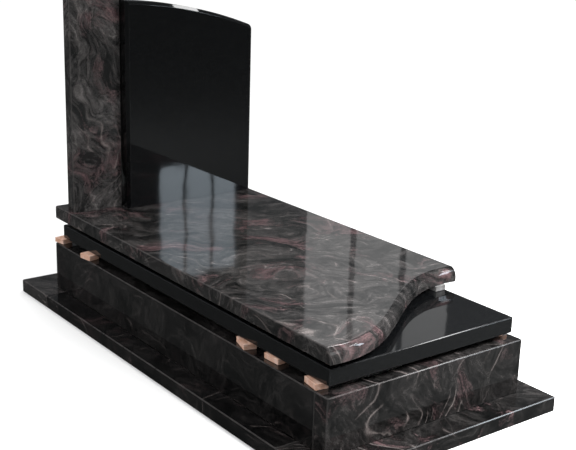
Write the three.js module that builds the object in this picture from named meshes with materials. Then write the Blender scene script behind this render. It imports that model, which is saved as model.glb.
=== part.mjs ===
// A single grave monument in polished granite, in millimetres, +Z up.
// The front of the grave faces -Y and the headstone stands at the +Y end.
// The origin is on the ground under the middle of the base frame.

import * as THREE from 'three';

// Base frame: four strips of veined granite laid flat on the ground.
const baseWidth = 1000;
const baseLength = 2028;
const baseThickness = 53;
const baseEndStripWidth = 230;
const baseSideStripWidth = 180;

// Kerb: four upright slabs that make a hollow box on the base frame.
const kerbWidth = 834;
const kerbFront = -918;
const kerbBack = 856;
const kerbThickness = 60;
const kerbTop = 246;

// Offcuts of batten lie on the kerb, each with its middle, its length along the kerb and its turn
// in degrees. The list is for the left kerb, and the right kerb mirrors it.
const timberThickness = 20;
const timberWidth = 46;
const kerbTimbers = [
  { name: 'back', x: -389, y: 839, length: 56, turn: -10 },
  { name: 'rear', x: -398, y: 595, length: 62, turn: -10 },
  { name: 'middle', x: -384, y: -461, length: 80, turn: 17 },
  { name: 'front', x: -373, y: -610, length: 72, turn: -2 },
  { name: 'corner', x: -384, y: -824, length: 72, turn: 10 },
];

// Longer blocks of the same batten lift the ledger off the cover slab.
const ledgerBlockLength = 90;
const ledgerBlocks = [
  { name: 'front_left', x: -318, y: -760 },
  { name: 'front_right', x: 363.5, y: -534 },
  { name: 'middle_left', x: -318, y: 60 },
  { name: 'middle_right', x: 340, y: 60 },
  { name: 'back_left', x: -318, y: 750 },
  { name: 'back_right', x: 340, y: 750 },
];

// Black cover slab over the kerb.
const coverWidth = 782;
const coverFront = -893;
const coverBack = 835;
const coverThickness = 56;

// Veined ledger with a wave cut across its front end.
const ledgerWidth = 842;
const ledgerShift = 16;
const ledgerBack = 875;
const ledgerThickness = 52;
const waveMiddle = -744;
const waveSwing = 170;
const waveHalfLength = 728;
const waveSteps = 32;
const rollDepth = 28;
const rollHeight = 36;
const rollSteps = 5;

// Black headstone with an arched top that falls to the right.
const headLeft = -172;
const headRight = 431;
const headFront = 685;
const headThickness = 80;
const headBevel = 12;
const headCrest = 1229;
const archCentreX = -250;
const archRadius = 1950;
const headCornerRadius = 26;

// Veined pillar beside the headstone, set back from its face.
const pillarLeft = -391;
const pillarFront = 736;
const pillarThickness = 51;
const pillarCrest = 1320;
const pillarArchRadius = 700;

// Small bevel on every other polished edge, and the gap between touching stones.
const arris = 3;
const joint = 0.3;

const kerbBottom = baseThickness + joint;
const timberBottom = kerbTop + joint;
const coverBottom = kerbTop + timberThickness + 2 * joint;
const coverTop = coverBottom + coverThickness;
const upperTimberBottom = coverTop + joint;
const ledgerBottom = coverTop + timberThickness + 2 * joint;
const ledgerTop = ledgerBottom + ledgerThickness;
const stoneFoot = ledgerTop + joint;

const veinedGranite = { color: 0x4d4646, roughness: 0.16, metalness: 0 };
const blackGranite = { color: 0x0b0c0e, roughness: 0.08, metalness: 0 };
const paleTimber = { color: 0xcfa07c, roughness: 0.75, metalness: 0 };
const greyTimber = { color: 0x8f8f92, roughness: 0.8, metalness: 0 };

const monument = new THREE.Group();

function addPiece(name, geometry, finish) {
  const mesh = new THREE.Mesh(geometry, new THREE.MeshStandardMaterial(finish));
  mesh.name = name;
  monument.add(mesh);
  return mesh;
}

// Joins a stack of flat rings with equal point counts into one closed solid.
// Each ring runs counter-clockwise as seen from the far end of the stack.
function loftSolid(rings) {
  const ringSize = rings[0].length;
  const positions = rings.flat().flatMap((point) => [point.x, point.y, point.z]);
  const faces = [];
  for (let level = 0; level + 1 < rings.length; level += 1) {
    const lower = level * ringSize;
    const upper = lower + ringSize;
    for (let i = 0; i < ringSize; i += 1) {
      const next = (i + 1) % ringSize;
      faces.push(lower + i, lower + next, upper + next);
      faces.push(lower + i, upper + next, upper + i);
    }
  }
  const last = (rings.length - 1) * ringSize;
  for (const [a, b, c] of ringTriangles(rings[0])) {
    faces.push(a, c, b);
  }
  for (const [a, b, c] of ringTriangles(rings[rings.length - 1])) {
    faces.push(last + a, last + b, last + c);
  }
  const geometry = new THREE.BufferGeometry();
  geometry.setAttribute('position', new THREE.Float32BufferAttribute(positions, 3));
  geometry.setIndex(faces);
  geometry.computeVertexNormals();
  return geometry;
}

// Triangles that fill a flat ring and turn the same way as the ring does.
function ringTriangles(ring) {
  const outline = flatten(ring);
  const turn = Math.sign(THREE.ShapeUtils.area(outline));
  return THREE.ShapeUtils.triangulateShape(outline, []).map(([a, b, c]) => {
    const sameTurn = Math.sign(THREE.ShapeUtils.area([outline[a], outline[b], outline[c]])) === turn;
    return sameTurn ? [a, b, c] : [a, c, b];
  });
}

// Drops the coordinate that is the same all round a flat ring.
function flatten(ring) {
  const axes = ['x', 'y', 'z'];
  const flat = axes.find((axis) => ring.every((point) => point[axis] === ring[0][axis]));
  const [across, up] = axes.filter((axis) => axis !== flat);
  return ring.map((point) => new THREE.Vector2(point[across], point[up]));
}

// A slab from its low corner to its high corner, with a small bevel along all its edges.
function addSlab(name, [lowX, lowY, lowZ], [highX, highY, highZ], finish) {
  const ring = (z, inset) => {
    const left = lowX + inset;
    const right = highX - inset;
    const front = lowY + inset;
    const back = highY - inset;
    return [
      [left + arris, front],
      [right - arris, front],
      [right, front + arris],
      [right, back - arris],
      [right - arris, back],
      [left + arris, back],
      [left, back - arris],
      [left, front + arris],
    ].map(([x, y]) => new THREE.Vector3(x, y, z));
  };
  const rings = [ring(lowZ, arris), ring(lowZ + arris, 0), ring(highZ - arris, 0), ring(highZ, arris)];
  addPiece(name, loftSolid(rings), finish);
}

// Four strips with the end strips running the full width and the sides butted between them.
function addBaseFrame() {
  const right = baseWidth / 2;
  const back = baseLength / 2;
  const innerRight = right - baseSideStripWidth;
  const innerBack = back - baseEndStripWidth;
  const sideBack = innerBack - joint;
  const top = baseThickness;
  addSlab('base_front_strip', [-right, -back, 0], [right, -innerBack, top], veinedGranite);
  addSlab('base_back_strip', [-right, innerBack, 0], [right, back, top], veinedGranite);
  addSlab('base_left_strip', [-right, -sideBack, 0], [-innerRight, sideBack, top], veinedGranite);
  addSlab('base_right_strip', [innerRight, -sideBack, 0], [right, sideBack, top], veinedGranite);
}

// The front kerb covers the ends of the side kerbs, and the back kerb stands between them.
function addKerb() {
  const right = kerbWidth / 2;
  const innerRight = right - kerbThickness;
  const innerFront = kerbFront + kerbThickness;
  const innerBack = kerbBack - kerbThickness;
  const sideFront = innerFront + joint;
  const endRight = innerRight - joint;
  addSlab('kerb_front', [-right, kerbFront, kerbBottom], [right, innerFront, kerbTop], veinedGranite);
  addSlab('kerb_left', [-right, sideFront, kerbBottom], [-innerRight, kerbBack, kerbTop], veinedGranite);
  addSlab('kerb_right', [innerRight, sideFront, kerbBottom], [right, kerbBack, kerbTop], veinedGranite);
  addSlab('kerb_back', [-endRight, innerBack, kerbBottom], [endRight, kerbBack, kerbTop], veinedGranite);
}

// A piece of batten lying flat, placed by the middle of its underside and turned about it.
function addTimber(name, length, place, finish) {
  const mesh = addPiece(name, new THREE.BoxGeometry(timberWidth, length, timberThickness), finish);
  mesh.position.set(place.x, place.y, place.bottom + timberThickness / 2);
  mesh.rotation.z = THREE.MathUtils.degToRad(place.turn);
}

function addKerbTimbers() {
  for (const { name, x, y, length, turn } of kerbTimbers) {
    addTimber(`timber_left_${name}`, length, { x, y, bottom: timberBottom, turn: -turn }, paleTimber);
    addTimber(`timber_right_${name}`, length, { x: -x, y, bottom: timberBottom, turn }, paleTimber);
  }
}

function addLedgerBlocks() {
  for (const { name, x, y } of ledgerBlocks) {
    const place = { x, y, bottom: upperTimberBottom, turn: 0 };
    addTimber(`ledger_block_${name}`, ledgerBlockLength, place, greyTimber);
  }
}

function addCoverSlab() {
  const half = coverWidth / 2;
  addSlab('cover_slab', [-half, coverFront, coverBottom], [half, coverBack, coverTop], blackGranite);
}

// The front end follows one sine wave across the width, furthest forward on the left.
const waveRate = Math.PI / waveHalfLength;

function waveFront(x) {
  return waveMiddle + waveSwing * Math.sin(waveRate * (x - ledgerShift));
}

// How far a step square to the wave reaches when it is measured along Y.
function waveStretch(x) {
  const slope = waveSwing * waveRate * Math.cos(waveRate * (x - ledgerShift));
  return Math.sqrt(1 + slope * slope);
}

// Cross-section of the ledger at x, drawn in all round by inset. Its points go up the rolled front
// edge, back over the top and down the square back end, and are then reversed for the stack.
function ledgerSection(x, inset) {
  const front = waveFront(x) + inset;
  const back = ledgerBack - inset;
  const top = ledgerTop - inset;
  const bottom = ledgerBottom + inset;
  const depth = rollDepth * waveStretch(x);
  const section = [[front, bottom]];
  for (let i = 0; i <= rollSteps; i += 1) {
    const angle = (i / rollSteps) * (Math.PI / 2);
    section.push([front + depth * (1 - Math.cos(angle)), top - rollHeight * (1 - Math.sin(angle))]);
  }
  section.push([back - arris, top]);
  section.push([back, top - arris]);
  section.push([back, bottom]);
  return section.reverse().map(([y, z]) => new THREE.Vector3(x, y, z));
}

function addLedger() {
  const left = ledgerShift - ledgerWidth / 2;
  const right = ledgerShift + ledgerWidth / 2;
  const sections = [ledgerSection(left, arris)];
  for (let i = 0; i <= waveSteps; i += 1) {
    const x = left + arris + ((ledgerWidth - 2 * arris) * i) / waveSteps;
    sections.push(ledgerSection(x, 0));
  }
  sections.push(ledgerSection(right, arris));
  addPiece('ledger', loftSolid(sections), veinedGranite);
}

// Points along an arc of a circle in the X-Z plane. Its angles are measured from the top.
function arcPoints(centreX, centreZ, radius, start, end, steps) {
  const points = [];
  for (let i = 0; i <= steps; i += 1) {
    const angle = start + ((end - start) * i) / steps;
    points.push([centreX + radius * Math.sin(angle), centreZ + radius * Math.cos(angle)]);
  }
  return points;
}

// Outline of an upright stone seen from the front, drawn in from its sides and top by inset. The top
// is one arc, joined to the right side by a smaller arc that touches both. The points go up the left
// side, over the top and down the right side, and are then reversed for the stack.
function stoneOutline(stone, y, inset) {
  const left = stone.left + inset;
  const archCentreZ = stone.crest - stone.archRadius;
  const cornerX = stone.right - stone.cornerRadius;
  const reach = stone.archRadius - stone.cornerRadius;
  const lean = Math.asin((cornerX - stone.archCentreX) / reach);
  const cornerZ = archCentreZ + reach * Math.cos(lean);
  const radius = stone.archRadius - inset;
  const start = Math.asin((left - stone.archCentreX) / radius);
  const points = [
    [left, stoneFoot],
    ...arcPoints(stone.archCentreX, archCentreZ, radius, start, lean, stone.topSteps),
    ...arcPoints(cornerX, cornerZ, stone.cornerRadius - inset, lean, Math.PI / 2, stone.cornerSteps).slice(1),
    [stone.right - inset, stoneFoot],
  ];
  return points.reverse().map(([x, z]) => new THREE.Vector3(x, y, z));
}

// An upright stone is a stack of its outline from back to front, with bevelled front and back edges.
function uprightStone(stone) {
  const back = stone.front + stone.thickness;
  return loftSolid([
    stoneOutline(stone, back, arris),
    stoneOutline(stone, back - arris, 0),
    stoneOutline(stone, stone.front + stone.bevel, 0),
    stoneOutline(stone, stone.front, stone.bevel),
  ]);
}

function addHeadstone() {
  const stone = {
    left: headLeft,
    right: headRight,
    front: headFront,
    thickness: headThickness,
    bevel: headBevel,
    crest: headCrest,
    archCentreX,
    archRadius,
    cornerRadius: headCornerRadius,
    topSteps: 20,
    cornerSteps: 5,
  };
  addPiece('headstone', uprightStone(stone), blackGranite);
}

function addPillar() {
  const right = headLeft - joint;
  const stone = {
    left: pillarLeft,
    right,
    front: pillarFront,
    thickness: pillarThickness,
    bevel: arris,
    crest: pillarCrest,
    archCentreX: right,
    archRadius: pillarArchRadius,
    cornerRadius: 2 * arris,
    topSteps: 10,
    cornerSteps: 2,
  };
  addPiece('pillar', uprightStone(stone), veinedGranite);
}

addBaseFrame();
addKerb();
addKerbTimbers();
addCoverSlab();
addLedgerBlocks();
addLedger();
addHeadstone();
addPillar();

export default monument;
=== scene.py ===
"""The finish of a polished granite grave monument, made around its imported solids.

Metres, +Z up, the front of the grave towards -Y and the headstone at the +Y end.
"""

import bpy
import numpy as np
from mathutils import Matrix, Vector


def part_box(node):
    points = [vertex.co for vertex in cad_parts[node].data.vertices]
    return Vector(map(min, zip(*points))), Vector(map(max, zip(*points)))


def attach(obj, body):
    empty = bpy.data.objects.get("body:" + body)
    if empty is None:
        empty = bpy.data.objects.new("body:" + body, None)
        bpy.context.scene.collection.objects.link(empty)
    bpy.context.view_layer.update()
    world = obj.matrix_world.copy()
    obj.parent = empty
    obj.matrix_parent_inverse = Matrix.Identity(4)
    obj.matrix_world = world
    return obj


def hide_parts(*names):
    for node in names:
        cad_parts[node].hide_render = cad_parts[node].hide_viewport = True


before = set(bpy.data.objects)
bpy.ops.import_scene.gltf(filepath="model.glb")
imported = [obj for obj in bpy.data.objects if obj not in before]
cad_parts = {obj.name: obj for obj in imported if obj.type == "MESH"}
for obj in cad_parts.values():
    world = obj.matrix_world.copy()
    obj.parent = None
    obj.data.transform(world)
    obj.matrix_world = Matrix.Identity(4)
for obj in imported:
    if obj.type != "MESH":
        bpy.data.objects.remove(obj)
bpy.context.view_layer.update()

# Bevels: a 45 degree flat whose two ridges are rounded over.
ARRIS = 0.003
ARRIS_ROUNDING = 0.002
RIDGE_STEPS = 3

# The wave across the front end of the ledger, and its rolled edge.
WAVE_MIDDLE = -0.744
WAVE_SWING = 0.170
WAVE_HALF_LENGTH = 0.728
WAVE_STEPS = 120
ROLL_DEPTH = 0.028
ROLL_HEIGHT = 0.036
ROLL_STEPS = 14

# The arched tops of the two upright stones.
HEAD_BEVEL = 0.012
HEAD_CREST = 1.229
HEAD_ARCH_X = -0.250
HEAD_ARCH_RADIUS = 1.950
HEAD_CORNER = 0.026
PILLAR_CREST = 1.320
PILLAR_ARCH_RADIUS = 0.700
PILLAR_CORNER = 0.006
ARCH_STEPS = 48
CORNER_STEPS = 10

# Offcuts of batten: worn corners, dents in the sawn faces, and ends cut slightly out of square.
BATTEN_ROUNDING = 0.0016
BATTEN_DENT = 0.0007
BATTEN_SKEW = 0.035
BATTEN_AROUND = 72
BATTEN_LEVELS = 26

# The camera stands at eye level in front of the grave and to its left.
CAMERA_PLACE = (-2.3369, -3.2099, 1.6618)
CAMERA_YAW = -37.463
CAMERA_DOWN = 16.628
CAMERA_ROLL = 1.7254
CAMERA_LENS = 70.405

# Polish: how much it bends light, and the depth of its faint waviness.
STONE_IOR = 1.54
POLISH_RIPPLE = 0.0004

# Veined granite: dark and light ground, light streaks, mauve patches, veins, and a lighter edge colour
# that is partly scuffed wear and partly a painted edge highlight.
GROUND_DARK = (0.006, 0.0062, 0.0062, 1.0)
GROUND_LIGHT = (0.037, 0.035, 0.0345, 1.0)
STREAK_TONE = (0.092, 0.085, 0.083, 1.0)
MAUVE_DARK = (0.032, 0.019, 0.021, 1.0)
MAUVE_LIGHT = (0.112, 0.071, 0.073, 1.0)
VEIN_TONE = (0.200, 0.172, 0.165, 1.0)
SCUFF_AND_HIGHLIGHT_TONE = (0.090, 0.084, 0.083, 1.0)

# Black granite: its ground, its faint grey crystals, and a lighter edge colour that is partly scuffed
# wear and partly a painted edge highlight.
BLACK_DARK = (0.0012, 0.0014, 0.0017, 1.0)
BLACK_LIGHT = (0.0032, 0.0035, 0.0038, 1.0)
BLACK_CRYSTAL = (0.05, 0.05, 0.05, 1.0)
BLACK_SCUFF_AND_HIGHLIGHT = (0.070, 0.072, 0.074, 1.0)

# Softwood: the distance between growth rings, and the height of fibres and saw marks.
RING_STEP = 0.0045
SAWN_RELIEF = 0.0006

# Each wood: the pale and the dark colour of a growth ring, and the colour it weathers to.
PALE_TONES = ((0.74, 0.47, 0.36, 1.0), (0.46, 0.22, 0.13, 1.0), (0.72, 0.51, 0.42, 1.0))
GREY_TONES = ((0.24, 0.235, 0.23, 1.0), (0.10, 0.10, 0.10, 1.0), (0.30, 0.30, 0.31, 1.0))

# The floor and the sky: bright to the eye, dull and dim in the polish.
FLOOR_HALF = 40.0
FLOOR_PALE = (0.97, 0.97, 0.97, 1.0)
FLOOR_DULL = (0.056, 0.058, 0.058, 1.0)
SKY_COLOUR = (1.0, 1.0, 1.0, 1.0)
SKY_STRENGTH = 1.08
DIM_COLOUR = (0.92, 0.96, 1.0, 1.0)
DIM_STRENGTH = 0.10

# The lamps aim here unless they say otherwise, and their light is white or faintly blue.
GRAVE_MIDDLE = (0.0, 0.0, 0.4)
WHITE = (1.0, 1.0, 1.0)
FAINT_BLUE = (0.78, 0.90, 1.0)


def bevel_curve(width, rounding):
    """How far a bevel lies inside the edge, and how far above the face, from the face to the side.

    Two arcs of 45 degrees with the given radius round over the ridges, and the straight
    stretch between them is the flat of the bevel.
    """
    turn = np.linspace(0, np.pi / 4, RIDGE_STEPS + 1)
    far = width + rounding * np.tan(np.pi / 8) - rounding * np.sin(turn)
    near = rounding * (1 - np.cos(turn))
    inset = np.concatenate([far, near[::-1]])
    rise = np.concatenate([near, far[::-1]])
    return inset, rise


def bevel_wear_and_highlight(flat):
    """How strongly each point of a bevel curve takes edge wear and painted edge highlight: 1 along the
    ridges, flat on the flat, 0 at its ends.
    """
    wear_and_highlight = np.ones(2 * (RIDGE_STEPS + 1))
    wear_and_highlight[RIDGE_STEPS : RIDGE_STEPS + 2] = flat
    wear_and_highlight[[0, -1]] = 0
    return wear_and_highlight


def even_normals(mesh):
    """Vertex normals as the mean of the faces around them, weighted by area, so flats stay flat."""
    count = len(mesh.polygons)
    normals = np.zeros(count * 3)
    areas = np.zeros(count)
    corners = np.zeros(count, dtype=int)
    mesh.polygons.foreach_get("normal", normals)
    mesh.polygons.foreach_get("area", areas)
    mesh.polygons.foreach_get("loop_total", corners)
    points = np.zeros(len(mesh.loops), dtype=int)
    mesh.loops.foreach_get("vertex_index", points)
    weighted = np.repeat(normals.reshape(-1, 3) * areas[:, None], corners, axis=0)
    size = len(mesh.vertices)
    total = np.stack([np.bincount(points, weighted[:, axis], size) for axis in range(3)], axis=1)
    return total / np.linalg.norm(total, axis=1, keepdims=True)


def stack_piece(name, rings, marks):
    """A closed solid from an array of rings, levels x points x 3.

    Neighbouring rings are joined by quads, and the first and last ring are capped. Each ring
    runs counter-clockwise as seen from the last one. Marks are values at the points, by name.
    """
    levels, around = rings.shape[:2]
    index = np.arange(levels * around).reshape(levels, around)
    onward = np.roll(index, -1, axis=1)
    quads = np.stack([index[:-1], onward[:-1], onward[1:], index[1:]], axis=-1).reshape(-1, 4)
    faces = quads.tolist() + [index[0, ::-1].tolist(), index[-1].tolist()]
    mesh = bpy.data.meshes.new(name)
    mesh.from_pydata(rings.reshape(-1, 3).tolist(), [], faces)
    for mark, values in marks.items():
        kind, field = ("FLOAT_VECTOR", "vector") if values.ndim == 3 else ("FLOAT", "value")
        layer = mesh.attributes.new(mark, kind, "POINT")
        layer.data.foreach_set(field, values.ravel())
    mesh.polygons.foreach_set("use_smooth", np.ones(len(faces), dtype=bool))
    mesh.normals_split_custom_set_from_vertices(even_normals(mesh).tolist())
    piece = bpy.data.objects.new(name, mesh)
    bpy.context.scene.collection.objects.link(piece)
    return piece


def worn_and_highlighted_edges(by_level, by_point):
    """Edge wear and painted edge highlight over a stack, where either its level or its place around
    the ring is marked.

    The two capped rings stay clean, so neither wear nor painted highlight spreads over their faces.
    """
    wear_and_highlight = np.maximum(by_level[:, None], by_point[None, :])
    wear_and_highlight[[0, -1]] = 0
    return {"wear_and_highlight": wear_and_highlight}


def dress(piece, node, material):
    """Puts a piece in the place of its node, with its finish."""
    piece.data.materials.append(material)
    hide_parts(node)
    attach(piece, "root")


def slab(name, low, high):
    """A slab: its plan outline, drawn in along the bevel at the bottom and at the top."""
    inset, rise = bevel_curve(ARRIS, ARRIS_ROUNDING)
    wear_and_highlight = bevel_wear_and_highlight(1)
    level_inset = np.concatenate([inset, inset[::-1]])[:, None]
    height = np.concatenate([low.z + rise, high.z - rise[::-1]])
    left, right = low.x + level_inset, high.x - level_inset
    front, back = low.y + level_inset, high.y - level_inset
    x = np.concatenate([right - inset, right - rise, left + inset, left + rise], axis=1)
    y = np.concatenate([front + rise, back - inset, back - rise, front + inset], axis=1)
    z = np.broadcast_to(height[:, None], x.shape)
    # The edge marks lay a lighter colour on the ridges: partly real wear, partly a painted edge
    # highlight.
    marks = worn_and_highlighted_edges(np.tile(wear_and_highlight, 2), np.tile(wear_and_highlight, 4))
    return stack_piece(name, np.stack([x, y, z], axis=-1), marks)


def wavy_ledger(name, low, high):
    """The ledger as cross-sections, one at each step across its width.

    Front edge: y = middle + swing * sin(pi * (x - centre) / half length). A quarter ellipse
    rolls that edge over, with its depth measured square to the wave.
    """
    inset, rise = bevel_curve(ARRIS, ARRIS_ROUNDING)
    wear_and_highlight = bevel_wear_and_highlight(1)
    inner = np.linspace(low.x + rise[-1], high.x - rise[-1], WAVE_STEPS + 1)[1:-1]
    x = np.concatenate([low.x + rise, inner, high.x - rise[::-1]])[:, None]
    drawn_in = np.concatenate([inset, np.zeros(len(inner)), inset[::-1]])[:, None]
    rate = np.pi / WAVE_HALF_LENGTH
    phase = rate * (x - (low.x + high.x) / 2)
    stretch = np.sqrt(1 + (WAVE_SWING * rate * np.cos(phase)) ** 2)
    front = WAVE_MIDDLE + WAVE_SWING * np.sin(phase) + drawn_in
    back = high.y - drawn_in
    bottom = low.z + drawn_in
    top = high.z - drawn_in
    turn = np.linspace(0, np.pi / 2, ROLL_STEPS + 1)
    roll = ROLL_DEPTH * stretch * (1 - np.cos(turn))
    y = np.concatenate([front + inset, front + roll, back - inset, back - rise], axis=1)
    z = np.concatenate(
        [bottom + rise, top - ROLL_HEIGHT * (1 - np.sin(turn)), top - rise, bottom + inset], axis=1
    )
    x = np.broadcast_to(x, y.shape)
    # Edge marks: a lighter colour on the ridges, partly real wear and partly a painted edge highlight.
    by_level = np.concatenate([wear_and_highlight, np.zeros(len(inner)), wear_and_highlight])
    by_point = np.concatenate([wear_and_highlight, np.zeros(len(turn)), wear_and_highlight, wear_and_highlight])
    marks = worn_and_highlighted_edges(by_level, by_point[::-1])
    return stack_piece(name, np.stack([x, y, z], axis=-1)[:, ::-1], marks)


def upright_stone(name, low, high, arch, bevel):
    """An upright stone as a stack of its outline, from its back to its front.

    The top is an arc of a circle, joined to the right side by a smaller arc that touches both.
    Each outline is drawn in by the bevels along the back and front edges.
    """
    back_inset, back_rise = bevel_curve(ARRIS, ARRIS_ROUNDING)
    front_inset, front_rise = bevel_curve(bevel, ARRIS_ROUNDING)
    inset = np.concatenate([back_inset, front_inset[::-1]])[:, None]
    y = np.concatenate([high.y - back_rise, low.y + front_rise[::-1]])[:, None]
    left, right = low.x + inset, high.x - inset
    centre_z = arch["crest"] - arch["radius"]
    corner_x = high.x - arch["corner"]
    reach = arch["radius"] - arch["corner"]
    corner_z = centre_z + np.sqrt(reach**2 - (corner_x - arch["x"]) ** 2)
    lean = np.arctan2(corner_x - arch["x"], corner_z - centre_z)
    radius = arch["radius"] - inset
    first = np.arcsin((left - arch["x"]) / radius)
    along = first + (lean - first) * np.linspace(0, 1, ARCH_STEPS + 1)
    turn = np.linspace(lean, np.pi / 2, CORNER_STEPS + 1)[1:]
    corner = arch["corner"] - inset
    foot = np.full_like(left, low.z)
    x = np.concatenate(
        [left, arch["x"] + radius * np.sin(along), corner_x + corner * np.sin(turn), right], axis=1
    )
    z = np.concatenate(
        [foot, centre_z + radius * np.cos(along), corner_z + corner * np.cos(turn), foot], axis=1
    )
    y = np.broadcast_to(y, x.shape)
    # Edge marks: a lighter colour on the ridges, partly real wear and partly a painted edge highlight.
    by_level = np.concatenate([bevel_wear_and_highlight(1), bevel_wear_and_highlight(1 if bevel == ARRIS else 0)])
    marks = worn_and_highlighted_edges(by_level, np.zeros(x.shape[1]))
    return stack_piece(name, np.stack([x, y, z], axis=-1)[:, ::-1], marks)


def batten_axes(item):
    """The own axes of a turned batten, across, along and up, with its low and high ends on them."""
    normals = np.zeros(len(item.data.polygons) * 3)
    points = np.zeros(len(item.data.vertices) * 3)
    item.data.polygons.foreach_get("normal", normals)
    item.data.vertices.foreach_get("co", points)
    normals = normals.reshape(-1, 3)
    across = normals[np.argmax(normals[:, 0])]
    up = np.array([0.0, 0.0, 1.0])
    axes = np.stack([across, np.cross(up, across), up])
    ends = points.reshape(-1, 3) @ axes.T
    return axes, ends.min(axis=0), ends.max(axis=0)


def batten_piece(name, item, seed):
    """An offcut of batten as rings along its length, closed by shrinking rings on both sawn ends.

    Box points are pulled onto a smaller box grown by the rounding, which rounds every edge. Two
    crossed sine waves with random phases press the faces in, and the ends lean out of square.
    """
    axes, low, high = batten_axes(item)
    middle = (low + high) / 2
    half = (high - low) / 2
    chance = np.random.default_rng(seed)

    turn = np.linspace(0, 8, BATTEN_AROUND, endpoint=False) + 0.5
    square_x = np.clip(np.abs((turn - 1) % 8 - 4) - 2, -1, 1)
    square_z = np.clip(np.abs((turn - 3) % 8 - 4) - 2, -1, 1)
    shrink = np.array([0.02, 0.35, 0.7, 0.92])
    size = np.concatenate([shrink, np.ones(BATTEN_LEVELS), shrink[::-1]])[:, None]
    ends = np.ones(len(shrink))
    length = np.concatenate([-ends, np.linspace(-1, 1, BATTEN_LEVELS), ends])[:, None]
    box = np.stack(np.broadcast_arrays(size * square_x, length, size * square_z), axis=-1) * half

    inner = np.clip(box, BATTEN_ROUNDING - half, half - BATTEN_ROUNDING)
    outward = (box - inner) / np.linalg.norm(box - inner, axis=-1, keepdims=True)
    rate = chance.uniform(90, 260, (2, 3))
    phase = chance.uniform(0, 2 * np.pi, 2)
    waves = np.sin(box @ rate[0] + phase[0]) * np.sin(box @ rate[1] + phase[1])
    dent = BATTEN_DENT * (0.5 + 0.5 * waves)
    points = inner + outward * (BATTEN_ROUNDING - dent)[..., None]
    skew = BATTEN_SKEW * chance.uniform(0, 1)
    points[..., 1] *= 1 - skew * (0.5 + 0.5 * points[..., 0] / half[0])

    pith = chance.uniform([-0.05, -1, -0.07], [0.05, 1, -0.03])
    marks = {
        "grain_place": points + pith,
        "sawn_end": np.broadcast_to(np.abs(outward[..., 1]), box.shape[:2]).copy(),
    }
    return stack_piece(name, (points + middle) @ axes, marks)


def add_node(tree, kind, inputs=None, **settings):
    """A shader node with its settings. An input that is a socket is linked, and others are set."""
    node = tree.nodes.new(kind)
    for name, value in settings.items():
        setattr(node, name, value)
    for key, value in (inputs or {}).items():
        if isinstance(value, bpy.types.NodeSocket):
            tree.links.new(value, node.inputs[key])
        else:
            node.inputs[key].default_value = value
    return node


def noise(tree, place, scale, detail=4.0, roughness=0.55):
    """Cloudy noise from 0 to 1."""
    values = {"Vector": place, "Scale": scale, "Detail": detail, "Roughness": roughness}
    return add_node(tree, "ShaderNodeTexNoise", values).outputs["Fac"]


def fade(tree, value, start, end):
    """0 below start and 1 above end, with a smooth step between. It also falls if end is lower."""
    values = {"Value": value, "From Min": start, "From Max": end}
    node = add_node(tree, "ShaderNodeMapRange", values, interpolation_type="SMOOTHSTEP")
    return node.outputs["Result"]


def between(tree, value, low, high):
    """Spreads a value from 0 to 1 over the range from low to high."""
    values = {"Value": value, "To Min": low, "To Max": high}
    return add_node(tree, "ShaderNodeMapRange", values).outputs["Result"]


def calculate(tree, operation, first, second=0.0):
    """One step of arithmetic on two values."""
    return add_node(tree, "ShaderNodeMath", {0: first, 1: second}, operation=operation).outputs[0]


def product(tree, *values):
    """All the values multiplied together."""
    total = values[0]
    for value in values[1:]:
        total = calculate(tree, "MULTIPLY", total, value)
    return total


def blend(tree, factor, first, second, mode="MIX"):
    """Mixes two colours."""
    node = add_node(tree, "ShaderNodeMix", data_type="RGBA", blend_type=mode)
    for key, value in (("Factor_Float", factor), ("A_Color", first), ("B_Color", second)):
        socket = next(s for s in node.inputs if s.identifier == key)
        if isinstance(value, bpy.types.NodeSocket):
            tree.links.new(value, socket)
        else:
            socket.default_value = value
    return next(s for s in node.outputs if s.identifier == "Result_Color")


def blend_values(tree, factor, first, second):
    """Mixes two values."""
    values = {0: factor, 2: first, 3: second}
    return add_node(tree, "ShaderNodeMix", values, data_type="FLOAT").outputs[0]


def vector_step(tree, operation, first, second, third=(0.0, 0.0, 0.0)):
    """One step of arithmetic on vectors."""
    values = {0: first, 1: second, 2: third}
    return add_node(tree, "ShaderNodeVectorMath", values, operation=operation).outputs[0]


def warp(tree, place, scale, reach):
    """Bends a pattern: each place is shifted by up to half of reach along each axis."""
    cloud = add_node(tree, "ShaderNodeTexNoise", {"Vector": place, "Scale": scale, "Detail": 2.0})
    centred = vector_step(tree, "SUBTRACT", cloud.outputs["Color"], (0.5,) * 3)
    return vector_step(tree, "MULTIPLY_ADD", centred, (reach,) * 3, place)


def stretch_along(tree, place, factor):
    """Draws a pattern out along its own X axis."""
    return vector_step(tree, "MULTIPLY", place, (factor, 1.0, 1.0))


def new_group(name, inputs, outputs):
    """A node group that takes a place in the material and named values, and gives the outputs."""
    tree = bpy.data.node_groups.new(name, "ShaderNodeTree")
    tree.interface.new_socket(name="Place", in_out="INPUT", socket_type="NodeSocketVector")
    for value in inputs:
        tree.interface.new_socket(name=value, in_out="INPUT", socket_type="NodeSocketFloat")
    for output, kind in outputs.items():
        tree.interface.new_socket(name=output, in_out="OUTPUT", socket_type=kind)
    entry = tree.nodes.new("NodeGroupInput")
    leave = tree.nodes.new("NodeGroupOutput")
    return tree, entry.outputs, leave.inputs


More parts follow.
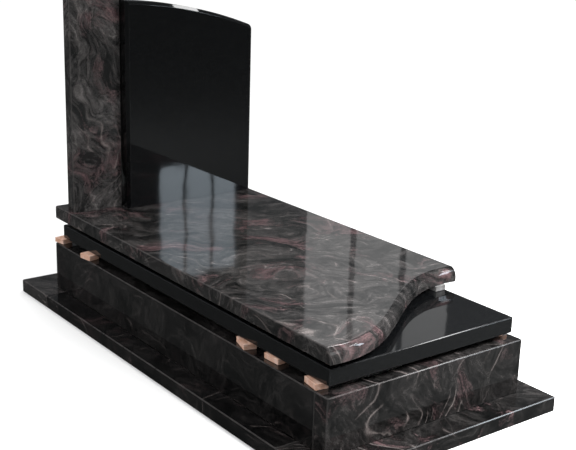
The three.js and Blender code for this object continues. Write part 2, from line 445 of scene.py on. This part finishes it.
def make_veined_granite_group():
    """Dark granite whose streaks, mauve patches and pale veins flow along X.

    The lightness, mauve and vein strengths are about 1 for a usual slab; the lightness also carries
    painted shade on some pieces. The edge input is 1 along an edge, where it lays a lighter scuff
    colour: partly real wear, partly a painted edge highlight.
    """
    outputs = {"Colour": "NodeSocketColor", "Roughness": "NodeSocketFloat"}
    tree, given, leave = new_group("veined_granite", ("Lightness", "Mauve", "Veins", "WearAndHighlight"), outputs)
    place = given["Place"]
    swept = warp(tree, place, 2.4, 0.55)
    bent = warp(tree, swept, 8.0, 0.12)
    flowing = stretch_along(tree, bent, 0.40)
    fine_flow = stretch_along(tree, warp(tree, bent, 30.0, 0.012), 0.18)

    cloud = noise(tree, flowing, 10.0, 8.0, 0.62)
    streak = noise(tree, fine_flow, 48.0, 6.0, 0.62)
    tone = fade(tree, cloud, 0.36, 0.66)
    grey = blend(tree, tone, GROUND_DARK, GROUND_LIGHT)
    light_streak = product(tree, fade(tree, streak, 0.44, 0.72), between(tree, tone, 0.15, 0.9))
    grey = blend(tree, light_streak, grey, STREAK_TONE)
    mottle = between(tree, noise(tree, bent, 44.0, 6.0, 0.7), -0.3, 2.3)
    # The lightness strength scales the ground colour; on the left and front pieces it is set low as
    # painted shade.
    grey = blend(tree, 1.0, grey, product(tree, mottle, given["Lightness"]), "MULTIPLY")

    patch = noise(tree, stretch_along(tree, bent, 0.7), 6.5, 7.0, 0.60)
    grains = noise(tree, place, 150.0, 3.0, 0.6)
    ragged = calculate(tree, "ADD", patch, product(tree, streak, 0.25))
    ragged = calculate(tree, "ADD", ragged, product(tree, grains, 0.20))
    mauve = product(tree, fade(tree, ragged, 0.76, 0.96), given["Mauve"])
    mauve = calculate(tree, "MINIMUM", mauve, 0.9)
    mauve_tone = blend(tree, fade(tree, streak, 0.3, 0.7), MAUVE_DARK, MAUVE_LIGHT)
    body = blend(tree, mauve, grey, mauve_tone)

    swirl = warp(tree, warp(tree, swept, 12.0, 0.03), 40.0, 0.006)
    values = {"Vector": swirl, "Scale": 8.0, "Distortion": 11.0, "Detail": 1.0, "Detail Scale": 0.5}
    bands = add_node(tree, "ShaderNodeTexWave", values, bands_direction="DIAGONAL").outputs["Fac"]
    gate = fade(tree, noise(tree, swirl, 7.0, 3.0), 0.50, 0.66)
    halo = product(tree, fade(tree, bands, 0.75, 1.0), 0.30)
    core = product(tree, fade(tree, bands, 0.95, 1.0), 0.70)
    line = calculate(tree, "ADD", halo, core)
    vein = product(tree, line, gate, between(tree, streak, -0.3, 2.1), given["Veins"])
    vein = calculate(tree, "MINIMUM", vein, 1.0)
    body = blend(tree, vein, body, VEIN_TONE)

    crystal = add_node(tree, "ShaderNodeTexVoronoi", {"Vector": place, "Scale": 380.0})
    shade = add_node(tree, "ShaderNodeSeparateColor", {0: crystal.outputs["Color"]}).outputs[0]
    body = blend(tree, 1.0, body, between(tree, shade, 0.72, 1.30), "MULTIPLY")

    # A lighter colour along the edges, blotched by noise: partly real scuffing, partly a painted
    # highlight line.
    scuff_and_highlight = product(tree, given["WearAndHighlight"], between(tree, noise(tree, place, 60.0, 4.0), 0.0, 0.7))
    body = blend(tree, scuff_and_highlight, body, SCUFF_AND_HIGHLIGHT_TONE)
    tree.links.new(body, leave["Colour"])
    rough = calculate(tree, "ADD", between(tree, vein, 0.045, 0.09), product(tree, scuff_and_highlight, 0.3))
    tree.links.new(rough, leave["Roughness"])
    return tree


def make_black_granite_group():
    """Fine-grained black granite with faint grey crystals. The edge input is 1 along an edge, where it
    lays a lighter scuff colour: partly real wear, partly a painted edge highlight.
    """
    outputs = {"Colour": "NodeSocketColor", "Roughness": "NodeSocketFloat"}
    tree, given, leave = new_group("black_granite", ("WearAndHighlight",), outputs)
    place = given["Place"]
    crystal = add_node(tree, "ShaderNodeTexVoronoi", {"Vector": place, "Scale": 620.0})
    shade = add_node(tree, "ShaderNodeSeparateColor", {0: crystal.outputs["Color"]}).outputs[0]
    cloud = noise(tree, place, 30.0, 5.0, 0.6)
    body = blend(tree, cloud, BLACK_DARK, BLACK_LIGHT)
    sparse = product(tree, fade(tree, shade, 0.84, 1.0), 0.22)
    body = blend(tree, sparse, body, BLACK_CRYSTAL)
    # A lighter grey along the edges: partly real scuffing, partly a painted highlight line.
    scuff_and_highlight = product(tree, given["WearAndHighlight"], between(tree, noise(tree, place, 60.0, 4.0), 0.0, 0.3))
    body = blend(tree, scuff_and_highlight, body, BLACK_SCUFF_AND_HIGHLIGHT)
    tree.links.new(body, leave["Colour"])
    rough = calculate(tree, "ADD", between(tree, cloud, 0.03, 0.05), product(tree, scuff_and_highlight, 0.25))
    tree.links.new(rough, leave["Roughness"])
    return tree


def make_sawn_wood_group():
    """Softwood with growth rings around the Y axis and fibres along it. End is 1 on a sawn end."""
    outputs = {"Ring": "NodeSocketFloat", "Fibre": "NodeSocketFloat", "Height": "NodeSocketFloat"}
    tree, given, leave = new_group("sawn_wood", ("End",), outputs)
    place = given["Place"]
    wobbly = warp(tree, vector_step(tree, "MULTIPLY", place, (1.0, 0.15, 1.0)), 22.0, 0.008)
    flat = vector_step(tree, "MULTIPLY", wobbly, (1.0, 0.0, 1.0))
    radius = add_node(tree, "ShaderNodeVectorMath", {0: flat}, operation="LENGTH").outputs["Value"]
    ring = calculate(tree, "FRACT", product(tree, radius, 1 / RING_STEP))
    tree.links.new(ring, leave["Ring"])
    along = vector_step(tree, "MULTIPLY", place, (1.0, 0.06, 1.0))
    fibre = noise(tree, along, 420.0, 4.0, 0.6)
    tree.links.new(fibre, leave["Fibre"])
    saw_marks = noise(tree, vector_step(tree, "MULTIPLY", place, (0.1, 1.0, 0.1)), 300.0, 2.0)
    tree.links.new(blend_values(tree, given["End"], saw_marks, fibre), leave["Height"])
    return tree


def mark_value(tree, name, kind="Fac"):
    """A value that the mesh carries at its points."""
    return add_node(tree, "ShaderNodeAttribute", attribute_name=name).outputs[kind]


def new_material(name):
    """A material, its node tree and its surface shader."""
    material = bpy.data.materials.new(name)
    material.use_nodes = True
    return material, material.node_tree, material.node_tree.nodes["Principled BSDF"]


def polished_stone(name, group, turn, shift, strengths):
    """Polished granite from the given group, cut from its own place in the block."""
    material, tree, surface = new_material(name)
    where = add_node(tree, "ShaderNodeTexCoord").outputs["Object"]
    values = {"Vector": where, "Location": shift, "Rotation": tuple(np.radians(turn))}
    place = add_node(tree, "ShaderNodeMapping", values).outputs["Vector"]
    # The edge mark feeds the lighter edge colour, partly real wear and partly a painted highlight.
    values = {"Place": place, "WearAndHighlight": mark_value(tree, "wear_and_highlight"), **strengths}
    pattern = tree.nodes.new("ShaderNodeGroup")
    pattern.node_tree = group
    for key, value in values.items():
        if isinstance(value, bpy.types.NodeSocket):
            tree.links.new(value, pattern.inputs[key])
        else:
            pattern.inputs[key].default_value = value
    tree.links.new(pattern.outputs["Colour"], surface.inputs["Base Color"])
    tree.links.new(pattern.outputs["Roughness"], surface.inputs["Roughness"])
    surface.inputs["IOR"].default_value = STONE_IOR
    ripple = noise(tree, where, 7.0, 1.0)
    values = {"Height": ripple, "Distance": POLISH_RIPPLE, "Strength": 1.0}
    bump = add_node(tree, "ShaderNodeBump", values)
    tree.links.new(bump.outputs["Normal"], surface.inputs["Normal"])
    return material


def sawn_wood(name, group, early, late, weathered):
    """Sawn softwood: the pale and the dark colour of a growth ring, and the colour it weathers to."""
    material, tree, surface = new_material(name)
    pattern = tree.nodes.new("ShaderNodeGroup")
    pattern.node_tree = group
    place = mark_value(tree, "grain_place", "Vector")
    end = mark_value(tree, "sawn_end")
    tree.links.new(place, pattern.inputs["Place"])
    tree.links.new(end, pattern.inputs["End"])
    late_wood = fade(tree, pattern.outputs["Ring"], 0.35, 0.95)
    body = blend(tree, product(tree, late_wood, 0.75), early, late)
    body = blend(tree, fade(tree, pattern.outputs["Fibre"], 0.45, 0.75), body, late)
    grime = fade(tree, noise(tree, place, 45.0, 4.0, 0.6), 0.42, 0.68)
    body = blend(tree, grime, body, weathered)
    shade = between(tree, end, 1.0, 0.72)
    body = blend(tree, 1.0, body, shade, "MULTIPLY")
    tree.links.new(body, surface.inputs["Base Color"])
    surface.inputs["Roughness"].default_value = 0.82
    surface.inputs["Specular IOR Level"].default_value = 0.3
    values = {"Height": pattern.outputs["Height"], "Distance": SAWN_RELIEF, "Strength": 0.7}
    bump = add_node(tree, "ShaderNodeBump", values)
    tree.links.new(bump.outputs["Normal"], surface.inputs["Normal"])
    return material


def soft_box(name, place, aim, size, radiance, tint=WHITE, in_gloss=True, in_diffuse=True):
    """A soft rectangular lamp with an even glow, turned towards its aim.

    Its power is radiance x pi x area. It may be left out of the gloss, or show in the gloss alone.
    """
    data = bpy.data.lights.new(name, "AREA")
    data.shape = "RECTANGLE"
    data.size, data.size_y = size
    data.energy = radiance * np.pi * size[0] * size[1]
    data.color = tint
    lamp = bpy.data.objects.new(name, data)
    bpy.context.scene.collection.objects.link(lamp)
    lamp.location = place
    lamp.rotation_euler = (Vector(aim) - Vector(place)).to_track_quat("-Z", "Y").to_euler()
    lamp.visible_camera = False
    lamp.visible_glossy = in_gloss
    lamp.visible_diffuse = in_diffuse


def gloss_row(name, middle, facing, size, gap, radiance, tint):
    """Three upright soft boxes side by side, which show in the polish and light nothing."""
    ahead = Vector((*facing, 0.0))
    aside = ahead.cross(Vector((0, 0, 1)))
    for i in range(3):
        step = (i - 1) * (size[0] + gap)
        place = Vector(middle) + step * aside
        soft_box(f"{name}_{i}", place, place + ahead, size, radiance, tint, in_diffuse=False)


def make_camera():
    """Camera axes: right, up and back, from the yaw, the downward pitch and the roll."""
    yaw, down, roll = np.radians([CAMERA_YAW, CAMERA_DOWN, CAMERA_ROLL])
    ahead = np.array([-np.sin(yaw) * np.cos(down), np.cos(yaw) * np.cos(down), -np.sin(down)])
    level = np.array([np.cos(yaw), np.sin(yaw), 0.0])
    over = np.cross(level, ahead)
    right = np.cos(roll) * level + np.sin(roll) * over
    up = np.cos(roll) * over - np.sin(roll) * level
    matrix = np.eye(4)
    matrix[:3] = np.stack([right, up, -ahead, CAMERA_PLACE], axis=1)
    data = bpy.data.cameras.new("camera")
    data.lens = CAMERA_LENS
    data.sensor_width = 36.0
    camera = bpy.data.objects.new("camera", data)
    camera.matrix_world = Matrix(matrix.tolist())
    bpy.context.scene.collection.objects.link(camera)
    bpy.context.scene.camera = camera


def by_ray(tree, kind, usual, special):
    """The usual shader, or the special one for rays of one kind."""
    rays = add_node(tree, "ShaderNodeLightPath")
    values = {0: rays.outputs[kind], 1: usual.outputs[0], 2: special.outputs[0]}
    return add_node(tree, "ShaderNodeMixShader", values).outputs[0]


def make_floor():
    """A plain pale floor, which the polish and the bounced light see as a dull grey one."""
    mesh = bpy.data.meshes.new("floor")
    x = FLOOR_HALF * np.array([-1, 1, 1, -1])
    y = FLOOR_HALF * np.array([-1, -1, 1, 1])
    mesh.from_pydata(np.stack([x, y, np.zeros(4)], axis=1).tolist(), [], [(0, 1, 2, 3)])
    floor = bpy.data.objects.new("floor", mesh)
    bpy.context.scene.collection.objects.link(floor)
    material, tree, surface = new_material("floor")
    tree.nodes.remove(surface)
    pale = add_node(tree, "ShaderNodeBsdfDiffuse", {"Color": FLOOR_PALE})
    dull = add_node(tree, "ShaderNodeBsdfDiffuse", {"Color": FLOOR_DULL})
    surface_socket = tree.nodes["Material Output"].inputs["Surface"]
    tree.links.new(by_ray(tree, "Is Camera Ray", dull, pale), surface_socket)
    mesh.materials.append(material)


def make_world():
    """An even white sky, which the polish sees as a dim one."""
    world = bpy.data.worlds.new("studio")
    bpy.context.scene.world = world
    world.use_nodes = True
    tree = world.node_tree
    sky = tree.nodes["Background"]
    sky.inputs["Color"].default_value = SKY_COLOUR
    sky.inputs["Strength"].default_value = SKY_STRENGTH
    dim = add_node(tree, "ShaderNodeBackground", {"Color": DIM_COLOUR, "Strength": DIM_STRENGTH})
    socket = tree.nodes["World Output"].inputs["Surface"]
    tree.links.new(by_ray(tree, "Is Glossy Ray", sky, dim), socket)


bpy.context.scene.view_settings.view_transform = "Standard"
make_camera()
make_floor()
make_world()

soft_box("key", (3.21, -2.55, 3.3), GRAVE_MIDDLE, (0.95, 0.22), 16.0)
soft_box("top_strip", (2.06, 0.68, 3.3), GRAVE_MIDDLE, (0.9, 0.35), 10.0)
soft_box("front_fill", (0.8, -5.2, 2.6), GRAVE_MIDDLE, (3.0, 2.0), 1.6)
soft_box("front_pool", (0.8, -1.65, 1.6), (0.8, -1.65, 0.0), (2.4, 0.8), 20.0, in_gloss=False)
soft_box("left_fill", (-3.0, 1.6, 1.6), (-0.5, 0.5, 0.3), (1.6, 1.2), 3.6, in_gloss=False)
gloss_row("back_strip", (3.70, 3.42, 2.30), (-0.643, -0.766), (0.37, 1.40), 0.05, 0.46, WHITE)
gloss_row("front_strip", (1.895, -2.00, 1.435), (0.0, 1.0), (0.19, 0.83), 0.03, 12.0, FAINT_BLUE)

VEINED_GRANITE = make_veined_granite_group()
BLACK_GRANITE = make_black_granite_group()
SAWN_WOOD = make_sawn_wood_group()

# Each veined piece: the turn of its pattern in degrees, its place in the block, and how light, mauve
# and veined it is. The lightness is partly the stone's own tone and partly painted shade: it is set
# low on the left pieces, which also get weaker mauve and veins, and lower on the front pieces to
# offset the lamp that pools light on them.
VEINED_STONES = {
    # Painted shade: darker, to offset the lamp that pools light on this front face.
    "base_front_strip": ((10, 20, 15), (0.0, 0.0, 0.0), (0.45, 1.6, 0.6)),
    "base_back_strip": ((0, 30, 75), (3.1, 0.4, 0.0), (0.8, 1.0, 1.0)),
    # Painted shade: darker, with weaker mauve and veins, for this face on the dim left side.
    "base_left_strip": ((20, 0, 95), (5.3, 1.2, 0.0), (0.2, 0.3, 0.25)),
    "base_right_strip": ((0, 15, 85), (7.7, 2.1, 0.0), (0.7, 1.0, 1.0)),
    # Painted shade: darker, to offset the lamp that pools light on this front face.
    "kerb_front": ((0, -60, 10), (8.1, 1.3, 0.4), (0.44, 0.8, 0.60)),
    # Painted shade: darker, with weaker mauve and veins, for this face on the dim left side.
    "kerb_left": ((15, 10, 80), (11.8, 3.3, 0.0), (0.3, 0.1, 0.12)),
    "kerb_right": ((0, 10, 100), (14.2, 1.9, 0.0), (0.9, 1.0, 1.0)),
    "kerb_back": ((0, 40, 5), (16.6, 0.2, 0.0), (0.9, 1.0, 1.0)),
    "ledger": ((0, 10, 35), (19.1, 4.4, 0.3), (0.85, 1.2, 0.45)),
    "pillar": ((0, -55, 0), (22.0, 0.8, 1.1), (1.4, 1.0, 0.4)),
}


def veined_stone(node):
    """The material of one veined piece."""
    turn, shift, strengths = VEINED_STONES[node]
    names = ("Lightness", "Mauve", "Veins")
    return polished_stone("stone_" + node, VEINED_GRANITE, turn, shift, dict(zip(names, strengths)))


for node in VEINED_STONES:
    if node.startswith(("base", "kerb")):
        dress(slab("polished_" + node, *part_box(node)), node, veined_stone(node))

BLACK_STONE = polished_stone("black_stone", BLACK_GRANITE, (0, 0, 0), (0, 0, 0), {})
dress(slab("polished_cover_slab", *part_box("cover_slab")), "cover_slab", BLACK_STONE)

ledger = wavy_ledger("polished_ledger", *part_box("ledger"))
dress(ledger, "ledger", veined_stone("ledger"))

HEAD_ARCH = {"x": HEAD_ARCH_X, "radius": HEAD_ARCH_RADIUS, "crest": HEAD_CREST, "corner": HEAD_CORNER}
headstone = upright_stone("polished_headstone", *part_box("headstone"), HEAD_ARCH, HEAD_BEVEL)
dress(headstone, "headstone", BLACK_STONE)

pillar_low, pillar_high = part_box("pillar")
PILLAR_ARCH = {
    "x": pillar_high.x,
    "radius": PILLAR_ARCH_RADIUS,
    "crest": PILLAR_CREST,
    "corner": PILLAR_CORNER,
}
pillar = upright_stone("polished_pillar", pillar_low, pillar_high, PILLAR_ARCH, ARRIS)
dress(pillar, "pillar", veined_stone("pillar"))

PALE_WOOD = sawn_wood("pale_wood", SAWN_WOOD, *PALE_TONES)
GREY_WOOD = sawn_wood("grey_wood", SAWN_WOOD, *GREY_TONES)
for seed, (node, item) in enumerate(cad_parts.items()):
    if node.startswith("timber"):
        dress(batten_piece("sawn_" + node, item, seed), node, PALE_WOOD)
    elif node.startswith("ledger_block"):
        dress(batten_piece("sawn_" + node, item, seed), node, GREY_WOOD)
